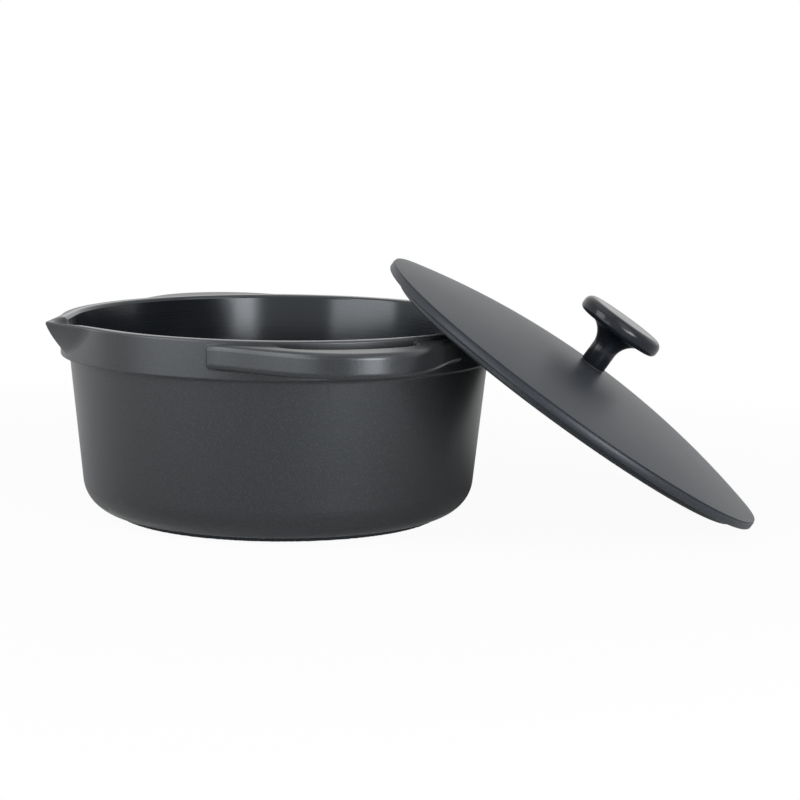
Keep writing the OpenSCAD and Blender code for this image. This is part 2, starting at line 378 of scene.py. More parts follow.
def lathe(outline: Outline, segments: int) -> Surface:
    """Turns a closed outline about the z axis.

    Args:
        outline: Radius and height of each corner in order, anticlockwise. An outline that
            touches the axis starts and ends there.
        segments: How many steps one full turn takes, an even number.

    Returns:
        The closed mesh.
    """
    corners = np.array(outline, dtype=float)
    capped = corners[0, 0] == 0 and corners[-1, 0] == 0
    rings = corners[1:-1] if capped else corners
    angles = np.arange(segments) * 2 * math.pi / segments
    steps = np.stack([np.cos(angles), np.sin(angles), np.ones(segments)], axis=1)
    vertices = (rings[:, [0, 0, 1]][:, None] * steps).reshape(-1, 3)
    numbers = np.arange(len(rings) * segments).reshape(len(rings), segments)
    if not capped:
        numbers = np.concatenate([numbers, numbers[:1]])
    first, second = numbers[:-1], numbers[1:]
    around = [first, np.roll(first, -1, axis=1), np.roll(second, -1, axis=1), second]
    faces = np.stack(around, axis=-1).reshape(-1, 4)
    if capped:
        tips = np.array([[0, 0, corners[0, 1]], [0, 0, corners[-1, 1]]])
        vertices = np.concatenate([vertices, tips])
        start, end = len(vertices) - 2, len(vertices) - 1
        for tip, ring, step in ((start, numbers[0], -1), (end, numbers[-1], 1)):
            pairs = ring.reshape(-1, 2)
            third = np.roll(ring, -2).reshape(-1, 2)[:, 0]
            fan = np.stack([np.full(len(pairs), tip), pairs[:, 0], pairs[:, 1], third], axis=1)
            faces = np.concatenate([faces, fan[:, ::step]])
    return Surface(vertices, faces)


# ---- finishes ----


class Maths(Enum):
    """What a Math node works out."""

    SUM = "ADD"
    DIFFERENCE = "SUBTRACT"
    PRODUCT = "MULTIPLY"
    POWER = "POWER"
    LARGER = "MAXIMUM"


def operator(maths: Maths, reflected: bool = False) -> Callable[["Value", "Value | float"], "Value"]:
    """Makes the method behind one of Python's operators on values.

    Args:
        maths: What the operator works out.
        reflected: Whether the value stands after the plain number.

    Returns:
        The method, which adds a Math node on numbers.
    """

    def work_out(value: "Value", other: "Value | float") -> "Value":
        """Adds the node on a value and what it meets."""
        terms = (other, value) if reflected else (value, other)
        return value.graph.node("ShaderNodeMath", {"operation": maths.value}, dict(enumerate(terms)))

    return work_out


@dataclass(frozen=True)
class Value:
    """A node's socket, which Python's own operators build on.

    Attributes:
        graph: The graph that the node is in.
        socket: The socket that gives the value, or None at the end of a graph.
    """

    graph: "Graph"
    socket: bpy.types.NodeSocket | None

    __add__ = operator(Maths.SUM)
    __radd__ = operator(Maths.SUM, reflected=True)
    __sub__ = operator(Maths.DIFFERENCE)
    __rsub__ = operator(Maths.DIFFERENCE, reflected=True)
    __mul__ = operator(Maths.PRODUCT)
    __rmul__ = operator(Maths.PRODUCT, reflected=True)
    __pow__ = operator(Maths.POWER)
    __rpow__ = operator(Maths.POWER, reflected=True)
    larger = operator(Maths.LARGER)

    def rise(self, start: float, end: float, low: float = 0.0, high: float = 1.0) -> "Value":
        """Goes smoothly from low to high as this goes from start to end.

        Args:
            start: Where the rise starts.
            end: Where it ends, which may be the lower.
            low: The value before the start.
            high: The value past the end.

        Returns:
            The value between low and high.
        """
        spans = {"From Min": start, "From Max": end, "To Min": low, "To Max": high}
        settings = {"interpolation_type": "SMOOTHSTEP"}
        return self.graph.node("ShaderNodeMapRange", settings, {"Value": self, **spans})


class Graph:
    """The nodes of a material or of the world."""

    def __init__(self, owner: bpy.types.Material | bpy.types.World) -> None:
        """Starts with no nodes.

        Args:
            owner: The material or world that the nodes belong to.
        """
        owner.use_nodes = True
        self.owner = owner
        self.tree = owner.node_tree
        self.tree.nodes.clear()

    def node(
        self,
        kind: str,
        settings: dict[str, object] | None = None,
        inputs: dict[str | int, object] | None = None,
        output: str | int = 0,
    ) -> Value:
        """Adds any node.

        Args:
            kind: Type of the node.
            settings: Values of its own properties, set before its sockets.
            inputs: A value or a link for each socket named or numbered.
            output: The socket that is used.

        Returns:
            The value that the node gives.
        """
        made = self.tree.nodes.new(kind)
        for name, setting in (settings or {}).items():
            setattr(made, name, setting)
        for name, given in (inputs or {}).items():
            if isinstance(given, Value):
                self.tree.links.new(given.socket, made.inputs[name])
            else:
                made.inputs[name].default_value = given
        return Value(self, made.outputs[output] if made.outputs else None)

    def split(self, made: Value, *outputs: str | int) -> list[Value]:
        """Several sockets of the node that gave a value."""
        return [Value(self, made.socket.node.outputs[output]) for output in outputs]

    def place(self) -> Value:
        """Where a point lies in the part's own frame, in metres."""
        return self.node("ShaderNodeTexCoord", output="Object")

    def noise(self, place: Value, scale: float, detail: float, roughness: float = 0.5) -> Value:
        """Smooth random values about 0.5."""
        inputs = {"Vector": place, "Scale": scale, "Detail": detail, "Roughness": roughness}
        return self.node("ShaderNodeTexNoise", inputs=inputs)

    def mix(self, factor: Value, first: object, second: object) -> Value:
        """Blends two colours, from the first at 0 to the second at 1."""
        inputs = {0: factor, 6: first, 7: second}
        return self.node("ShaderNodeMix", {"data_type": "RGBA"}, inputs, output=2)

    def bump(self, height: Value, distance: float) -> Value:
        """Turns a height into a normal."""
        inputs = {"Height": height, "Distance": distance, "Strength": 1.0}
        return self.node("ShaderNodeBump", inputs=inputs)

    def finish(self, **inputs: object) -> bpy.types.Material:
        """Ends a material in one shader.

        Args:
            **inputs: Values of the Principled shader's sockets, with _ for each space.

        Returns:
            The material.
        """
        sockets = {name.replace("_", " "): value for name, value in inputs.items()}
        shader = self.node("ShaderNodeBsdfPrincipled", inputs=sockets)
        self.node("ShaderNodeOutputMaterial", inputs={"Surface": shader})
        return self.owner


def rgba(colour: Colour) -> tuple[float, float, float, float]:
    """A colour with full cover."""
    return (*colour, 1.0)


@dataclass(frozen=True)
class InsideCoat:
    """The darker and smoother coat inside the pot, with fine turned rings. Sizes are in metres.

    Attributes:
        radius: Radius of the inner wall at the rim.
        top: Height of the rim.
        taper: Slope of the inner wall.
        flank_turn: Direction that a lip's inner flanks face, from the line of the lips.
        flank_start: Distance from that line at which the flanks start.
        edge_w: How far the coat reaches over the rim's inner edge.
        edge_depth: Depth below the rim at which it starts to reach over.
        unevenness: How much the rings add to the roughness.
        rings: How many rings there are to a metre.
        wander: How many times to a metre a ring changes along the radius.
        crest_span: The rings' height over which they turn from dark to light.
        flank_blend: Width over which a flank takes over from the round wall.
        fade: Distances past the coat's edge at which it ends and at which it is full.
    """

    radius: float
    top: float
    taper: float
    flank_turn: float
    flank_start: float
    edge_w: float = 0.0035
    edge_depth: float = 0.002
    dark: Colour = (0.011, 0.013, 0.016)
    light: Colour = (0.019, 0.0225, 0.027)
    roughness: float = 0.08
    unevenness: float = 0.12
    relief: float = 0.000012
    rings: float = 1500.0
    wander: float = 40.0
    crest_span: tuple[float, float] = (0.35, 0.8)
    flank_blend: float = 0.003
    fade: tuple[float, float] = (0.0006, -0.0002)

    def coat(self, graph: Graph, place: Value) -> tuple[Value, Value]:
        """Works out where the coat lies and how its rings run.

        Args:
            graph: The material's graph.
            place: Where a point lies.

        Returns:
            A mask that is 1 on the coat, and the height of its rings from 0 to 1.
        """
        position = graph.node("ShaderNodeSeparateXYZ", inputs={0: place})
        x, y, z = graph.split(position, 0, 1, 2)
        radius = (x * x + y * y) ** 0.5
        along, across = (x * x) ** 0.5, (y * y) ** 0.5
        lean, rise = math.cos(self.flank_turn), math.sin(self.flank_turn)
        beside = across.rise(self.flank_start, self.flank_start + self.flank_blend)
        beside *= (along * rise - across * lean).rise(-MM, MM)
        reach = radius * (1 - beside) + (along * lean + across * rise) * beside
        depth = self.top - z
        wall = depth * -self.taper + self.radius
        edge = depth.rise(self.edge_depth, 0.0) * self.edge_w
        mask = (reach - wall - edge).rise(*self.fade)
        course = {0: radius * self.wander, 1: 0.0, 2: z * self.rings}
        rings = graph.noise(graph.node("ShaderNodeCombineXYZ", inputs=course), 1.0, 3.0, 0.6)
        return mask, rings


@dataclass(frozen=True)
class Enamel:
    """Matt enamel with a fine speckle, as sprayed on the outside of the castings.

    Attributes:
        name: Name of the material.
        inside: The coat inside the piece, if it has one.
        dark: Colour between the flecks.
        light: Colour of the flecks.
        speckle: How many flecks there are to a metre.
        grain: Height of the coat's fine waves, in metres.
        gloss: Specular level of the coat.
        tint: Colour of what the coat reflects.
        fleck_span: The noise over which a fleck rises from nothing to its full colour.
        fleck_wear: How much rougher the flecks are.
        cloud: How many patches of rougher and smoother coat there are to a metre.
        cloud_wear: How much the roughness changes between them.
        wave_ratio: How many waves there are for each fleck.
    """

    name: str
    inside: InsideCoat | None = None
    dark: Colour = (0.0135, 0.0145, 0.016)
    light: Colour = (0.031, 0.033, 0.036)
    roughness: float = 0.3
    speckle: float = 1700.0
    grain: float = 0.000014
    gloss: float = 0.5
    tint: Colour = (0.9, 0.95, 1.0)
    fleck_span: tuple[float, float] = (0.52, 0.72)
    fleck_wear: float = 0.05
    cloud: float = 14.0
    cloud_wear: float = 0.08
    wave_ratio: float = 0.45

    def material(self) -> bpy.types.Material:
        """Builds the finish.

        Returns:
            The material.
        """
        graph = Graph(bpy.data.materials.new(self.name))
        place = graph.place()
        flecks = graph.noise(place, self.speckle, 1.0).rise(*self.fleck_span)
        clouds = graph.noise(place, self.cloud, 2.0) - 0.5
        waves = graph.noise(place, self.speckle * self.wave_ratio, 2.0)
        colour = graph.mix(flecks, rgba(self.dark), rgba(self.light))
        roughness = clouds * self.cloud_wear + self.roughness + flecks * self.fleck_wear
        height = waves * self.grain
        if self.inside:
            mask, rings = self.inside.coat(graph, place)
            inside = self.inside
            crests = rings.rise(*inside.crest_span)
            tone = graph.mix(crests, rgba(inside.dark), rgba(inside.light))
            colour = graph.mix(mask, colour, tone)
            smooth = rings * inside.unevenness + inside.roughness
            roughness = roughness * (1 - mask) + mask * smooth
            height = height * (1 - mask) + rings * mask * inside.relief
        return graph.finish(
            Base_Color=colour,
            Roughness=roughness,
            Normal=graph.bump(height, 1.0),
            Specular_IOR_Level=self.gloss,
            Specular_Tint=rgba(self.tint),
        )


@dataclass(frozen=True)
class Moulding:
    """Black moulded resin with a soft gloss, as on the knob.

    Attributes:
        name: Name of the material.
        haze: How much the roughness changes over the surface.
        patch: How many hazy patches there are to a metre.
        dimple: How many dimples there are to a metre.
        relief: Their height in metres.
    """

    name: str
    colour: Colour = (0.009, 0.011, 0.015)
    roughness: float = 0.2
    gloss: float = 0.25
    haze: float = 0.1
    patch: float = 60.0
    dimple: float = 900.0
    relief: float = 0.000001

    def material(self) -> bpy.types.Material:
        """Builds the finish.

        Returns:
            The material.
        """
        graph = Graph(bpy.data.materials.new(self.name))
        place = graph.place()
        patches = graph.noise(place, self.patch, 3.0)
        dimples = graph.noise(place, self.dimple, 1.0)
        return graph.finish(
            Base_Color=rgba(self.colour),
            Roughness=patches * self.haze + (self.roughness - self.haze / 2),
            Normal=graph.bump(dimples, self.relief),
            Specular_IOR_Level=self.gloss,
        )


@dataclass(frozen=True)
class Rubber:
    """Dull black rubber, a little lighter where it is dusty.

    Attributes:
        name: Name of the material.
        dark: Colour of clean rubber.
        light: Colour under the dust.
        speck: How many specks of dust there are to a metre.
        dustiness: How much rougher the dust is.
    """

    name: str
    dark: Colour = (0.008, 0.008, 0.009)
    light: Colour = (0.02, 0.02, 0.021)
    roughness: float = 0.6
    speck: float = 500.0
    dustiness: float = 0.2

    def material(self) -> bpy.types.Material:
        """Builds the finish.

        Returns:
            The material.
        """
        graph = Graph(bpy.data.materials.new(self.name))
        dust = graph.noise(graph.place(), self.speck, 3.0)
        colour = graph.mix(dust, rgba(self.dark), rgba(self.light))
        return graph.finish(Base_Color=colour, Roughness=dust * self.dustiness + self.roughness)


@dataclass(frozen=True)
class Metal:
    """Turned or stamped metal with fine marks.

    Attributes:
        name: Name of the material.
        colour: Its colour where it is bright.
        roughness: Its middle roughness.
        wear: How much the roughness changes with the marks.
        mark: How many marks there are to a metre.
        relief: Their height in metres.
        stain: How many duller patches there are to a metre.
        dullness: How bright these are beside the rest.
    """

    name: str
    colour: Colour
    roughness: float = 0.28
    wear: float = 0.2
    mark: float = 2200.0
    relief: float = 0.000008
    stain: float = 180.0
    dullness: float = 0.8

    def material(self) -> bpy.types.Material:
        """Builds the finish.

        Returns:
            The material.
        """
        graph = Graph(bpy.data.materials.new(self.name))
        place = graph.place()
        marks = graph.noise(place, self.mark, 2.0, 0.7)
        stains = graph.noise(place, self.stain, 2.0)
        dull = tuple(self.dullness * part for part in self.colour)
        return graph.finish(
            Base_Color=graph.mix(stains, rgba(self.colour), rgba(dull)),
            Metallic=1.0,
            Roughness=marks * self.wear + (self.roughness - self.wear / 2),
            Normal=graph.bump(marks, self.relief),
        )


# ---- pot ----


@dataclass(frozen=True)
class Pot:
    """The pot: one casting with its collar, two pouring lips and two loop handles.

    Attributes:
        height: Height of the rim.
        tip_r: Distance from the axis to a lip's tip.
        grip_r: Distance from the axis to a handle's outer edge.
        rim_r: Outer radius of the rim.
        scoop_inset: How far behind the inner wall a scoop's round face ends below its channel.
        lap: How far the half outlines of a handle run past its middle.
        plan_near: Distance within which no handle lies.
        plan_far: The distance from a handle that points within it are given.
        hidden_edge: Rounding of a solid's end that lies inside another.
        curve_steps: How many steps there are along half a handle's outer edge.
        cell: Size of the mesh's cells before it is thinned.
        triangles: How many triangles are left then.
    """

    height: float
    tip_r: float
    grip_r: float
    rim_r: float = 129.8
    wall_t: float = 4.6
    floor_z: float = 7.0
    foot_r: float = 97.0
    foot_h: float = 2.0
    foot_edge: float = 0.5
    slant: float = math.radians(6)
    corner_r: float = 21.0
    collar_h: float = 22.3
    collar_step: float = 5.3
    collar_round: float = 1.0
    hem_fillet: float = 1.8
    rim_round: float = 1.2
    rim_inner_round: float = 2.0
    lip_tip_r: float = 3.5
    lip_base_r: float = 127.6
    lip_depth: float = 19.0
    lip_curve: float = 1.35
    lip_fillet: float = 0.9
    lip_edge_w: float = 5.8
    channel_depth: float = 15.5
    channel_curve: float = 2.0
    scoop_r: float = 26.0
    scoop_inset: float = 0.5
    flank_r: float = 10.0
    flank_reach: float = 11.2
    ridge_round: float = 0.8
    handle_span: float = 151.0
    grip_w: float = 23.0
    gap_w: float = 86.0
    gap_end: float = 39.5
    gap_round: float = 2.5
    shoulder_w: float = 42.0
    handle_h: float = 14.4
    handle_drop: float = 2.2
    handle_round: float = 3.2
    root_proud: float = 1.5
    root_blend: float = 24.0
    root_edge: float = 1.1
    root_depth: float = 3.0
    gap_corner: float = 17.0
    gap_lean: float = 2.0
    gap_depth: float = 12.0
    gap_flare: float = 1.0
    lap: float = 20.0
    plan_near: float = 88.0
    plan_far: float = 30.0
    flank_start: float = 22.0
    fillet: float = 0.4
    hidden_edge: float = 0.1
    curve_steps: int = 80
    cell: float = 0.9
    triangles: int = 180_000

    def wall_r(self, z: Array | float) -> Array | float:
        """Outer radius of the tapered wall at a height."""
        above_hem = z - self.height + self.collar_h
        return self.rim_r - self.collar_step + above_hem * math.tan(self.slant)

    def inner_r(self, z: Array | float) -> Array | float:
        """Radius of the inner wall at a height."""
        return self.wall_r(z) - self.wall_t

    @property
    def rim_middle_r(self) -> float:
        """Radius of the middle of the rim's top face."""
        return (self.inner_r(self.height) + self.rim_r) / 2

    @property
    def flank_turn(self) -> float:
        """Direction that a lip's inner flanks face, from the line of the lips."""
        inner_r = self.inner_r(self.height)
        return math.acos((inner_r - self.flank_r) / (inner_r + self.flank_reach - self.flank_r))

    def lip_share(self, z: Array, depth: float, curve: float) -> Array:
        """How much of its reach a lip keeps at a height: all at the rim, none a depth below it."""
        return 1 - (np.maximum(self.height - z, 0) / depth) ** curve

    def outside(self) -> Form:
        """The tapered wall with its round lower corner, its foot, and the collar with its lips.

        Returns:
            The solid without its handles, endless above the rim.
        """

        def flare(x: Array, y: Array, z: Array) -> Array:
            """Distance to the drawn-out circle that the lips are cut from."""
            share = self.lip_share(z, self.lip_depth, self.lip_curve)
            reach = self.rim_r - self.lip_base_r + (self.tip_r - self.rim_r) * share
            return teardrop(x, y, self.lip_base_r, self.lip_tip_r, np.maximum(reach, 0))

        cosine = math.cos(self.slant)
        wall = Form(lambda x, y, z: (np.hypot(x, y) - self.wall_r(z)) * cosine)
        body = wall.within(above(self.foot_h), self.corner_r, math.sin(self.slant))
        foot = bar(self.foot_r).within(above(0), self.foot_edge)
        foot = foot.within(below(self.foot_h + self.corner_r / 2), self.hidden_edge)
        collar = bar(self.rim_r).joined(Form(flare), self.lip_fillet)
        collar = collar.within(above(self.height - self.collar_h), self.collar_round)
        return body.joined(foot, self.fillet).joined(collar, self.hem_fillet)

    def inside(self) -> Form:
        """The hollow of the pot, with the round scoop and straight flanks of each lip's channel.

        Returns:
            The solid that is taken away.
        """

        def share(z: Array) -> Array:
            """How much of its reach a channel keeps at a height."""
            return np.maximum(self.lip_share(z, self.channel_depth, self.channel_curve), 0)

        def hollow(x: Array, y: Array, z: Array) -> Array:
            """Distance to the tapered hollow with the channels' flanks."""
            reach = self.flank_reach * share(z)
            return teardrop(x, y, self.inner_r(z), self.flank_r, reach) * math.cos(self.slant)

        def scoop(x: Array, y: Array, z: Array) -> Array:
            """Distance to the round scoops at the channels' ends."""
            reach = self.tip_r - self.lip_edge_w - self.inner_r(self.height)
            front = self.inner_r(z) - self.scoop_inset + (reach + self.scoop_inset) * share(z)
            return np.hypot(np.abs(x) - front + self.scoop_r, y) - self.scoop_r

        walls = Form(hollow).joined(Form(scoop), self.ridge_round)
        corner = self.corner_r - self.wall_t
        return walls.within(above(self.floor_z), corner, math.sin(self.slant))

    def grip_outline(self) -> Array:
        """One end of a handle in plan, from its middle to its root on the collar.

        Returns:
            The corners in order, one a row.
        """
        root_r = self.rim_r + self.root_proud
        turn = math.asin(self.handle_span / 2 / root_r)
        along = Vector((math.cos(turn), -math.sin(turn)))
        out = Vector((math.sin(turn), math.cos(turn)))
        end = out * root_r
        edge = end - along * self.root_edge
        centre = edge - out * self.root_edge
        crown = [(0, self.grip_r), (self.shoulder_w, self.grip_r)]
        outer = bezier([*crown, end - along * self.root_blend, edge], self.curve_steps)
        corner = [
            tuple(centre + self.root_edge * (out * math.cos(a) + along * math.sin(a)))
            for a in (math.radians(15 * i) for i in range(1, 7))
        ]
        foot = tuple(end * ((self.rim_middle_r - self.root_depth) / root_r))
        return np.array([(-self.lap, self.grip_r), *outer, *corner, foot, (-self.lap, foot[1])])

    def gap_outline(self) -> Array:
        """One end of the finger gap in plan, from its middle to the rim.

        Returns:
            The corners in order, one a row.
        """
        turn = math.asin(self.gap_w / 2 / self.rim_middle_r)
        end = Vector((math.sin(turn), math.cos(turn))) * self.rim_middle_r
        inner_y = self.grip_r - self.grip_w
        crown = [(0, inner_y), (self.gap_w / 3, inner_y)]
        corner = end + Vector((-self.gap_lean, self.gap_corner))
        inner = bezier([*crown, corner, end], self.curve_steps // 2)
        low = end.y - self.gap_depth
        return np.array([(-self.lap, inner_y), *inner, (end.x + self.gap_flare, low), (-self.lap, low)])

    def plan(self, outline: Array) -> Form:
        """The upright form over one end of an outline and its mirror images.

        Args:
            outline: Corners of that end, one a row, on the side where x and y are positive.

        Returns:
            The form, endless along z.
        """

        def distance(x: Array, y: Array, z: Array) -> Array:
            """Distance to the outline from where the point is mirrored to."""
            across, out = np.broadcast_arrays(np.abs(x), np.abs(y))
            found = np.full(out.shape, self.plan_far)
            close = out > self.plan_near
            found[close] = outline_distance(across[close], out[close], outline)
            return found

        return Form(distance)

    def handle(self) -> Form:
        """Both loop handles: level plates with round edges and a finger gap.

        Returns:
            The solid, whose roots reach into the rim.
        """
        middle = self.height - self.handle_drop - self.handle_h / 2
        plate = Form(lambda x, y, z: np.abs(z - middle) - self.handle_h / 2)
        ends = Form(lambda x, y, z: np.abs(x) - self.gap_end)
        gap = self.plan(self.gap_outline()).within(ends, self.gap_round)
        grip = plate.within(self.plan(self.grip_outline()), self.handle_round)
        return grip.cut_by(gap, self.handle_round)

    def form(self) -> Form:
        """The whole casting.

        Returns:
            The solid that is wrapped.
        """
        casting = self.outside().joined(self.handle(), self.fillet)
        casting = casting.within(below(self.height), self.rim_round)
        return casting.cut_by(self.inside(), self.rim_inner_round)

    def build(self) -> bpy.types.Object:
        """Makes the pot and stands it in for the solid.

        Returns:
            The dressed piece.
        """
        form = self.form()
        cell = self.cell * 1
        edge = 2 * cell
        net = Net(
            (-self.tip_r - edge, -self.grip_r - edge, -edge),
            (self.tip_r + edge, self.grip_r + edge, self.height + edge),
            cell,
        )
        surface = net.thin_out(form, net.wrap(form), self.triangles, "pot_net")
        piece = surface.as_object("pot_casting")
        inside = InsideCoat(
            radius=self.inner_r(self.height) * MM,
            top=self.height * MM,
            taper=math.tan(self.slant),
            flank_turn=self.flank_turn,
            flank_start=self.flank_start * MM,
        )
        piece.data.materials.append(Enamel("charcoal_enamel", inside).material())
        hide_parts("pot")
        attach(piece, "pot")
        return piece


# ---- lid ----


@dataclass(frozen=True)
class Lid:
    """The lid: one casting with a shallow dome, an edge face and a locating ring below.

    Attributes:
        tilt: Its slope in degrees.
        azimuth: The direction in which it slopes down, in degrees from the x axis.
        radius: Radius of its edge.
        edge_h: Height of its edge face.
        edge_round: Rounding of the edge face's lower corner.
        seam_h: Depth of the lower side of the seam under the dome's rim.
        seam_depth: How far the seam cuts into the edge face.
        seam_edge: Chamfer of its lower side.
        seam_slope: How far its sides rise or fall on the way in.
        rim_h: Depth of the dome's rim over the seam.
        rim_step: How far the rim's lower corner stands in from the edge face.
        rim_inset: How far the middle of the rim's rounding stands in from the edge face.
        pad_gap: Distance from the pad's side to the middle of the round above it.
        dome_margin: Width of the rim that the dome's own curve leaves out.
    """

    tilt: float = 34.6
    azimuth: float = -23.1
    radius: float = 131.4
    edge_h: float = 5.3
    edge_round: float = 1.2
    dome_rise: float = 16.8
    thickness: float = 3.0
    ring_r: float = 121.24
    ring_w: float = 4.6
    ring_depth: float = 4.2
    ring_round: float = 1.5
    seat_r: float = 8.5
    pad_r: float = 11.0
    pad_t: float = 6.0
    pad_round: float = 0.8
    hollow_round: float = 1.6
    ring_fillet: float = 0.7
    hole_r: float = 3.3
    hole_edge: float = 0.3
    seam_h: float = 1.15
    seam_depth: float = 0.75
    seam_edge: float = 0.1
    seam_slope: float = 0.2
    rim_h: float = 0.5
    rim_step: float = 0.45
    rim_inset: float = 0.65
    rim_round: float = 0.3
    pad_gap: float = 2.0
    dome_margin: float = 1.0
    dome_steps: int = 64
    hollow_steps: int = 40

    def matrix(self) -> Matrix:
        """The lid's own axes in the part's frame, found from the box of its solid.

        Returns:
            The matrix that places a piece drawn about the lid's axis, in metres.
        """
        low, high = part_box("lid")
        turn = Matrix.Rotation(math.radians(self.azimuth), 4, "Z")
        turn @= Matrix.Rotation(math.radians(self.tilt), 4, "Y")
        corner = self.radius - self.edge_round
        centre = Vector((0, 0, 0))
        for axis in range(2):
            normal = turn.col[2][axis]
            spread = math.sqrt(1 - normal**2)
            reach = corner * spread + abs(normal) * (self.edge_h - self.edge_round) + self.edge_round
            if normal > 0:
                centre[axis] = low[axis] + reach * MM
            else:
                centre[axis] = high[axis] - reach * MM
        lean = math.radians(self.tilt)
        rise = corner * math.sin(lean) + (self.edge_h - self.edge_round) * math.cos(lean)
        centre.z = low.z + (rise + self.edge_round) * MM
        return Matrix.Translation(centre) @ turn

    @property
    def dome_r(self) -> float:
        """Radius of the sphere that the dome is part of."""
        return (self.radius**2 + self.dome_rise**2) / (2 * self.dome_rise)

    def height(self, radius: float, sink: float = 0.0) -> float:
        """Height of the dome, or of the hollow a depth below it, at a distance from the axis."""
        return math.sqrt((self.dome_r - sink) ** 2 - radius**2) + self.dome_rise - self.dome_r

    @property
    def seat_z(self) -> float:
        """Height of the flat that the knob's seal sits on."""
        return self.height(self.seat_r)

    @property
    def pad_z(self) -> float:
        """Height of the pad under the lid's centre."""
        return self.seat_z - self.pad_t

    def outline(self) -> Outline:
        """The lid's section, from the hole's lower edge round the outside and back.

        Returns:
            Radius and height of each corner in order.
        """
        edge_r, edge_h = self.radius, self.edge_h
        low = -edge_h - self.ring_depth
        inner_r, start_r = self.ring_r - self.ring_w, self.pad_r + self.pad_gap
        hollow = [
            (r, self.height(r, self.thickness))
            for r in np.linspace(start_r + 0.2, inner_r - self.hollow_round, self.hollow_steps)
        ]
        dome = [
            (r, self.height(r))
            for r in np.linspace(edge_r - self.dome_margin, self.seat_r + 0.5, self.dome_steps)
        ]
        corner = hollow[-1]
        edge, round_, seam_r = self.hole_edge, self.hollow_round, edge_r - self.seam_depth
        pad_round, ring_round, edge_round = self.pad_round, self.ring_round, self.edge_round
        fillet, crown_r = self.ring_fillet, edge_r - self.rim_inset
        return [
            (self.hole_r, self.pad_z + edge),
            (self.hole_r + edge, self.pad_z),
            *arc((self.pad_r - pad_round, self.pad_z + pad_round), pad_round, -90, 0, 5),
            *arc((start_r, hollow[0][1] - round_), round_, 160, 90, 5),
            *hollow,
            *arc((inner_r - round_, corner[1] - 2.0), round_, 80, 0, 6),
            *arc((inner_r + ring_round, low + ring_round), ring_round, 180, 270, 6),
            *arc((self.ring_r - ring_round, low + ring_round), ring_round, -90, 0, 6),
            *arc((self.ring_r + fillet, -edge_h - fillet), fillet, 180, 90, 5),
            *arc((edge_r - edge_round, edge_round - edge_h), edge_round, -90, 0, 8),
            (edge_r, -self.seam_h - self.seam_edge),
            (edge_r - self.seam_edge, -self.seam_h),
            (seam_r, -self.seam_h + self.seam_slope),
            (seam_r, -self.rim_h - self.seam_slope),
            (edge_r - self.rim_step, -self.rim_h),
            *arc((crown_r, self.height(crown_r) - self.rim_round), self.rim_round, 0, 82, 4),
            *dome,
            (self.seat_r, self.seat_z),
            (self.hole_r + edge, self.seat_z),
            (self.hole_r, self.seat_z - edge),
        ]

    def build(self) -> bpy.types.Object:
        """Makes the lid and stands it in for the solid.

        Returns:
            The dressed piece.
        """
        piece = lathe(self.outline(), 320).as_object("lid_casting")
        piece.data.transform(self.matrix())
        # The lid takes the pot's enamel painted lighter and bluer: painted light, standing in for the
        # light that its upturned dome catches.
        dark, light = (0.021, 0.024, 0.029), (0.036, 0.041, 0.049)
        enamel = Enamel("lid_enamel_painted_lighter", dark=dark, light=light, roughness=0.4, gloss=0.25)
        piece.data.materials.append(enamel.material())
        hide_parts("lid")
        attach(piece, "lid")
        return piece


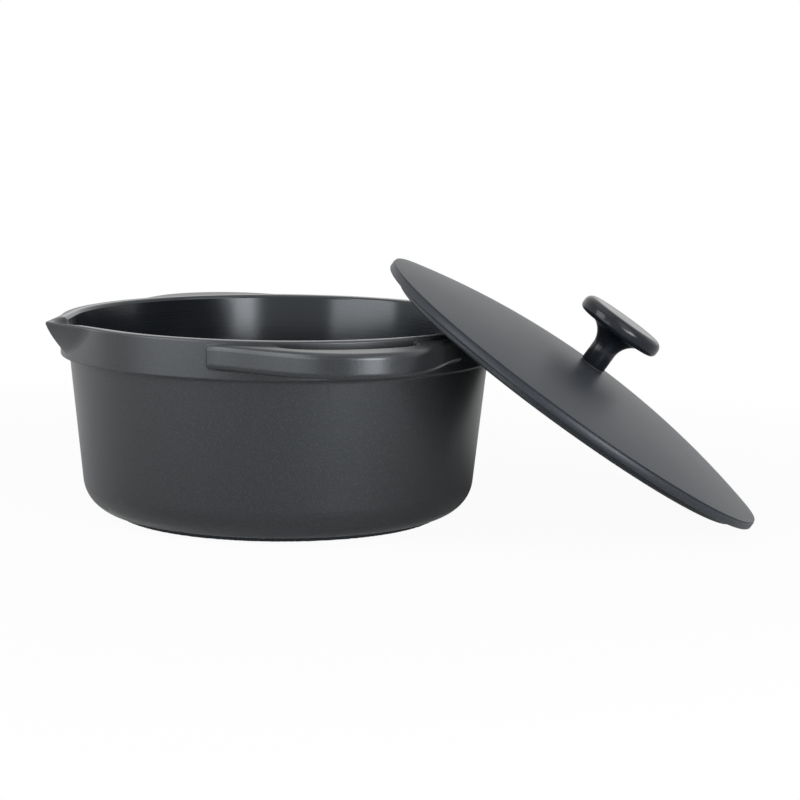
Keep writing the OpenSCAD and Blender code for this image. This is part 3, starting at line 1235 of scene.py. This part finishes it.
@dataclass(frozen=True)
class Knob:
    """The knob on its lid, the seal between them, and the fasteners that hold it.

    Attributes:
        lid: The lid that they are fixed to.
        height: Height of the knob over its foot.
        cap_ledge: How far the flare's end stands in from the cap's edge, past half its thickness.
        cap_edge: Rounding of the cap's upper edge.
        cap_hem: Rounding of its lower edge.
        cap_crown: How far its top rises to the middle.
        seal_inset: How far the seal stands in from the stem's side.
        spring_inset: How much smaller the spring washer is than the flat one.
        split_w: Width of its split.
        shank_root: How far the shank reaches into the screw's head.
        margin: Room around the screw in its net.
    """

    lid: Lid
    height: float = 34.2
    cap_r: float = 26.6
    cap_t: float = 10.3
    cap_ledge: float = 0.85
    cap_edge: float = 4.8
    cap_hem: float = 3.2
    cap_crown: float = 0.6
    stem_r: float = 7.75
    seal_t: float = 0.8
    seal_inset: float = 0.35
    seal_edge: float = 0.2
    bore_r: float = 4.45
    bore_depth: float = 12.3
    bore_edge: float = 0.2
    foot_edge: float = 0.3
    washer_r: float = 6.2
    washer_t: float = 1.0
    washer_edge: float = 0.15
    spring_t: float = 1.5
    spring_inset: float = 0.4
    spring_edge: float = 0.2
    split_w: float = 1.2
    split_edge: float = 0.1
    spring_cell: float = 0.16
    screw_r: float = 3.0
    screw_len: float = 16.0
    head_r: float = 5.5
    head_h: float = 3.6
    head_round: float = 1.2
    head_edge: float = 0.2
    end_chamfer: float = 0.5
    shank_root: float = 1.0
    root_edge: float = 0.1
    slot_w: float = 1.4
    slot_depth: float = 1.6
    slot_edge: float = 0.15
    screw_cell: float = 0.2
    margin: float = 0.5

    @property
    def foot_z(self) -> float:
        """Height of the knob's foot."""
        return self.lid.seat_z + self.seal_t

    def knob_outline(self) -> Outline:
        """The knob's section, from the bore's top round the foot, the flare and the cap.

        Returns:
            Radius and height of each corner in order.
        """
        flare_end = self.cap_r - self.cap_t / 2 - self.cap_ledge
        flare_r = flare_end - self.stem_r
        cap_z = self.height - self.cap_t
        flare_z = cap_z - flare_r
        edge_z = self.height - self.cap_crown - self.cap_edge
        flat_r = self.cap_r - self.cap_edge
        return [
            (0.0, self.bore_depth),
            (self.bore_r, self.bore_depth),
            (self.bore_r, self.bore_edge),
            (self.bore_r + self.bore_edge, 0.0),
            (self.stem_r - self.foot_edge, 0.0),
            (self.stem_r, self.foot_edge),
            *arc((flare_end, flare_z), flare_r, 180, 90, 32),
            *arc((self.cap_r - self.cap_hem, cap_z + self.cap_hem), self.cap_hem, -88, 0, 12),
            *arc((flat_r, edge_z), self.cap_edge, 0, 86, 16),
            *((flat_r * u, self.height - self.cap_crown * u**2) for u in (0.95, 0.8, 0.6, 0.4, 0.2)),
            (0.0, self.height),
        ]

    def dress(
        self,
        surface: Surface,
        name: str,
        node: str,
        material: bpy.types.Material,
        rise: float,
    ) -> bpy.types.Object:
        """Places a piece on the lid's axis and stands it in for its solid.

        Args:
            surface: The piece's mesh, drawn about the axis.
            name: Name of the new piece.
            node: The solid that it stands for.
            material: Its material.
            rise: How far it is raised along the lid's axis, in millimetres.

        Returns:
            The dressed piece.
        """
        surface.vertices = surface.vertices + np.array([0, 0, rise])
        piece = surface.as_object(name)
        piece.data.transform(self.lid.matrix())
        piece.data.materials.append(material)
        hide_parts(node)
        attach(piece, "lid")
        return piece

    def build(self) -> list[bpy.types.Object]:
        """Makes the knob, the seal, the washers and the screw.

        Returns:
            The dressed pieces.
        """
        resin = Moulding("black_resin").material()
        rubber = Rubber("seal_rubber").material()
        stamped = Metal("stamped_steel", (0.56, 0.57, 0.59)).material()
        turned = Metal("turned_steel", (0.6, 0.61, 0.62), 0.22).material()
        seal_r, hole_r = self.stem_r - self.seal_inset, self.lid.hole_r
        washer_z = self.lid.pad_z - self.washer_t
        spring_z = washer_z - self.spring_t
        knob = lathe(self.knob_outline(), 192)
        seal = lathe(self.ring_outline(hole_r, seal_r, self.seal_t, self.seal_edge), 96)
        flat = self.ring_outline(hole_r, self.washer_r, self.washer_t, self.washer_edge)
        washer = lathe(flat, 96)
        return [
            self.dress(knob, "knob_moulding", "knob", resin, self.foot_z),
            self.dress(seal, "seal_ring", "knob_seal", rubber, self.lid.seat_z),
            self.dress(washer, "washer_ring", "flat_washer", stamped, washer_z),
            self.dress(self.spring(), "spring_ring", "spring_washer", stamped, spring_z),
            self.dress(self.screw(), "screw_turned", "knob_screw", turned, spring_z),
        ]

    @staticmethod
    def ring_outline(inner: float, outer: float, height: float, edge: float) -> Outline:
        """The section of a flat ring with rounded edges.

        Args:
            inner: Radius of the ring's hole.
            outer: Its outer radius.
            height: Its thickness.
            edge: Rounding of its edges.

        Returns:
            Radius and height of each corner in order.
        """
        return [
            *arc((inner + edge, edge), edge, 180, 270, 3),
            *arc((outer - edge, edge), edge, -90, 0, 3),
            *arc((outer - edge, height - edge), edge, 0, 90, 3),
            *arc((inner + edge, height - edge), edge, 90, 180, 3),
        ]

    def spring(self) -> Surface:
        """The spring washer, with its split.

        Returns:
            Its mesh, which stands on the level of 0.
        """
        edge = self.spring_edge
        ring = bar(self.washer_r - self.spring_inset).within(above(0), edge)
        ring = ring.within(below(self.spring_t), edge).cut_by(bar(self.lid.hole_r), edge)
        split = Form(lambda x, y, z: np.maximum(np.abs(y) - self.split_w / 2, -x))
        reach, spare = self.washer_r, self.spring_inset
        low, high = (-reach, -reach, -spare), (reach, reach, self.spring_t + spare)
        return Net(low, high, self.spring_cell).wrap(ring.cut_by(split, self.split_edge))

    def screw(self) -> Surface:
        """The screw, with a chamfered end and a slot across its head.

        Returns:
            Its mesh, with the face that bears on the washer at 0.
        """
        head = bar(self.head_r).within(above(-self.head_h), self.head_round)
        head = head.within(below(0), self.head_edge)
        shank = bar(self.screw_r).within(below(self.screw_len), self.end_chamfer)
        shank = shank.within(above(-self.shank_root), self.root_edge)
        floor = self.slot_depth - self.head_h
        slot = Form(lambda x, y, z: np.maximum(np.abs(y) - self.slot_w / 2, z - floor))
        form = head.joined(shank, self.head_edge).cut_by(slot, self.slot_edge)
        reach, spare = self.head_r + self.margin, self.margin
        low, high = (-reach, -reach, -self.head_h - spare), (reach, reach, self.screw_len + spare)
        return Net(low, high, self.screw_cell).wrap(form)


def dress_insert() -> None:
    """Gives the brass insert, hidden in the knob's stem, its metal."""
    brass = Metal("turned_brass", (0.66, 0.47, 0.2)).material()
    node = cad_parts["knob_insert"]
    node.data.materials.clear()
    node.data.materials.append(brass)


# ---- studio ----


@dataclass(frozen=True)
class Lamp:
    """A soft box that faces the object.

    Attributes:
        name: Name of the lamp.
        azimuth: Its direction from the object, in degrees from the x axis.
        elevation: How high it hangs, in degrees, or 0 if it stands on the floor.
        distance: How far off it is, in metres.
        size: Its width and height.
        power: Its power in watts.
        aim: The point that it faces, at its own height if it stands.
        foot_h: Height of its lower edge if it stands.
    """

    name: str
    azimuth: float
    elevation: float
    distance: float
    size: tuple[float, float]
    power: float
    aim: tuple[float, float, float] = (0.03, 0.0, 0.08)
    foot_h: float = 0.01

    def hang(self) -> None:
        """Hangs or stands the lamp in the scene."""
        around, rise = math.radians(self.azimuth), math.radians(self.elevation)
        level = Vector((math.cos(around), math.sin(around), 0)) * math.cos(rise)
        place = (level + Vector((0, 0, math.sin(rise)))) * self.distance
        aim = Vector(self.aim)
        if self.elevation == 0:
            place.z = aim.z = self.size[1] / 2 + self.foot_h
        light = bpy.data.lights.new(self.name, "AREA")
        light.shape = "RECTANGLE"
        light.size, light.size_y = self.size
        light.energy = self.power
        lamp = bpy.data.objects.new(self.name, light)
        lamp.location = place
        lamp.rotation_euler = (aim - place).to_track_quat("-Z", "Y").to_euler()
        bpy.context.collection.objects.link(lamp)


@dataclass(frozen=True)
class Studio:
    """The pale floor, the white surround, the soft boxes and the camera.

    Attributes:
        eye: Where the camera stands, in metres.
        heading: The way it faces, in degrees from the y axis towards x.
        pitch: How far it looks down, in degrees.
        roll: How far it leans, in degrees.
        lens: Its focal length on a sensor 36 mm wide.
        ambient: Strength of the surround on the object.
        daylight: Colour of that light.
        paint: Colour of the floor under the lamps.
        glow: How much of the floor's white the camera sees by itself near the object.
        glow_span: Distances over which it rises to all of it, in metres.
        mirrored: How much of it mirror and glass rays see, away from the object.
        mirror_span: Distances over which that rises from nothing.
        floor_reach: Half the floor's width.
        floor_drop: How far the floor lies below the object's foot.
        lamps: The soft boxes.
    """

    eye: tuple[float, float, float] = (-0.4393, -1.4184, 0.2811)
    heading: float = 20.0
    pitch: float = 8.173
    roll: float = 0.823
    lens: float = 112.5
    ambient: float = 0.06
    daylight: Colour = (0.95, 0.97, 1.0)
    paint: Colour = (0.85, 0.85, 0.85)
    glow: float = 0.95
    glow_span: tuple[float, float] = (0.3, 0.7)
    mirrored: float = 0.55
    mirror_span: tuple[float, float] = (0.07, 0.5)
    floor_reach: float = 30.0
    floor_drop: float = 0.0003
    lamps: tuple[Lamp, ...] = (
        Lamp("high_left", -170, 40, 1.4, (0.7, 0.7), 7.5),
        Lamp("high_right", -60, 40, 1.4, (0.7, 0.7), 2.5),
        Lamp("overhead", -110, 89, 1.4, (1.0, 1.0), 2.0),
        Lamp("front_right", -82, 0, 1.3, (0.4, 0.5), 4.5),
        Lamp("strip", -92, 0, 1.6, (0.16, 0.9), 1.2),
        Lamp("right", -69, 0, 1.3, (0.4, 0.4), 8.0),
        Lamp("front_left", -160, 0, 1.3, (1.0, 0.5), 6.6),
        Lamp("back_left", 140, 0, 1.3, (0.6, 0.5), 2.0),
    )

    @staticmethod
    def seen(graph: Graph, camera: Value | float, mirror: Value | float) -> Value:
        """A factor for rays from the camera, and another for mirror and glass rays.

        Args:
            graph: The graph that takes it.
            camera: The factor for rays from the camera.
            mirror: The factor for mirror and glass rays.

        Returns:
            The factor, 0 for every other ray.
        """
        names = ("Is Camera Ray", "Is Glossy Ray", "Is Transmission Ray")
        eye, shine, glass = graph.split(graph.node("ShaderNodeLightPath"), *names)
        return (eye * camera).larger(shine * mirror).larger(glass * mirror)

    def surround(self) -> None:
        """A world that looks white and lights the object softly."""
        world = bpy.data.worlds.new("white_surround")
        bpy.context.scene.world = world
        graph = Graph(world)
        tone = {"Color": rgba(self.daylight), "Strength": self.ambient}
        soft = graph.node("ShaderNodeBackground", inputs=tone)
        white = graph.node("ShaderNodeBackground", inputs={"Color": rgba(WHITE)})
        looks = {0: self.seen(graph, 1.0, 1.0), 1: soft, 2: white}
        blend = graph.node("ShaderNodeMixShader", inputs=looks)
        graph.node("ShaderNodeOutputWorld", inputs={"Surface": blend})

    def floor(self) -> None:
        """A plain pale floor that keeps a faint shadow close to the object, and is white beyond."""
        mesh = bpy.data.meshes.new("floor")
        corners = ((-1, -1), (1, -1), (1, 1), (-1, 1))
        reach = self.floor_reach
        mesh.from_pydata([(x * reach, y * reach, 0) for x, y in corners], [], [(0, 1, 2, 3)])
        plane = bpy.data.objects.new("floor", mesh)
        bpy.context.collection.objects.link(plane)
        plane.location.z = -self.floor_drop
        graph = Graph(bpy.data.materials.new("pale_floor"))
        paint = graph.node("ShaderNodeBsdfDiffuse", inputs={"Color": rgba(self.paint)})
        glow = graph.node("ShaderNodeEmission", inputs={"Color": rgba(WHITE)})
        length = {"operation": "LENGTH"}
        distance = graph.node("ShaderNodeVectorMath", length, {0: graph.place()}, "Value")
        camera = distance.rise(*self.glow_span, self.glow, 1.0)
        mirror = distance.rise(*self.mirror_span, 0.0, self.mirrored)
        looks = {0: self.seen(graph, camera, mirror), 1: paint, 2: glow}
        blend = graph.node("ShaderNodeMixShader", inputs=looks)
        graph.node("ShaderNodeOutputMaterial", inputs={"Surface": blend})
        mesh.materials.append(graph.owner)

    def camera(self) -> None:
        """Sets the camera up."""
        turn = Matrix.Rotation(math.radians(-self.heading), 4, "Z")
        turn @= Matrix.Rotation(math.radians(90 - self.pitch), 4, "X")
        turn @= Matrix.Rotation(math.radians(self.roll), 4, "Z")
        data = bpy.data.cameras.new("camera")
        data.lens, data.sensor_width = self.lens, 36.0
        camera = bpy.data.objects.new("camera", data)
        camera.matrix_world = Matrix.Translation(self.eye) @ turn
        bpy.context.collection.objects.link(camera)
        bpy.context.scene.camera = camera

    def build(self) -> None:
        """Sets up the whole studio."""
        bpy.context.scene.view_settings.view_transform = "Standard"
        self.camera()
        self.surround()
        self.floor()
        for lamp in self.lamps:
            lamp.hang()


def main() -> None:
    """Builds the studio and the pieces in order."""
    logging.basicConfig(level=logging.INFO, format="%(message)s")
    Studio().build()
    low, high = (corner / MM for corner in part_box("pot"))
    pot = Pot(height=high.z, tip_r=(high.x - low.x) / 2, grip_r=(high.y - low.y) / 2)
    lid = Lid()
    pieces = [pot.build(), lid.build(), *Knob(lid).build()]
    dress_insert()
    for piece in pieces:
        log.info("%s: %d faces", piece.name, len(piece.data.polygons))


if __name__ == "__main__":
    main()
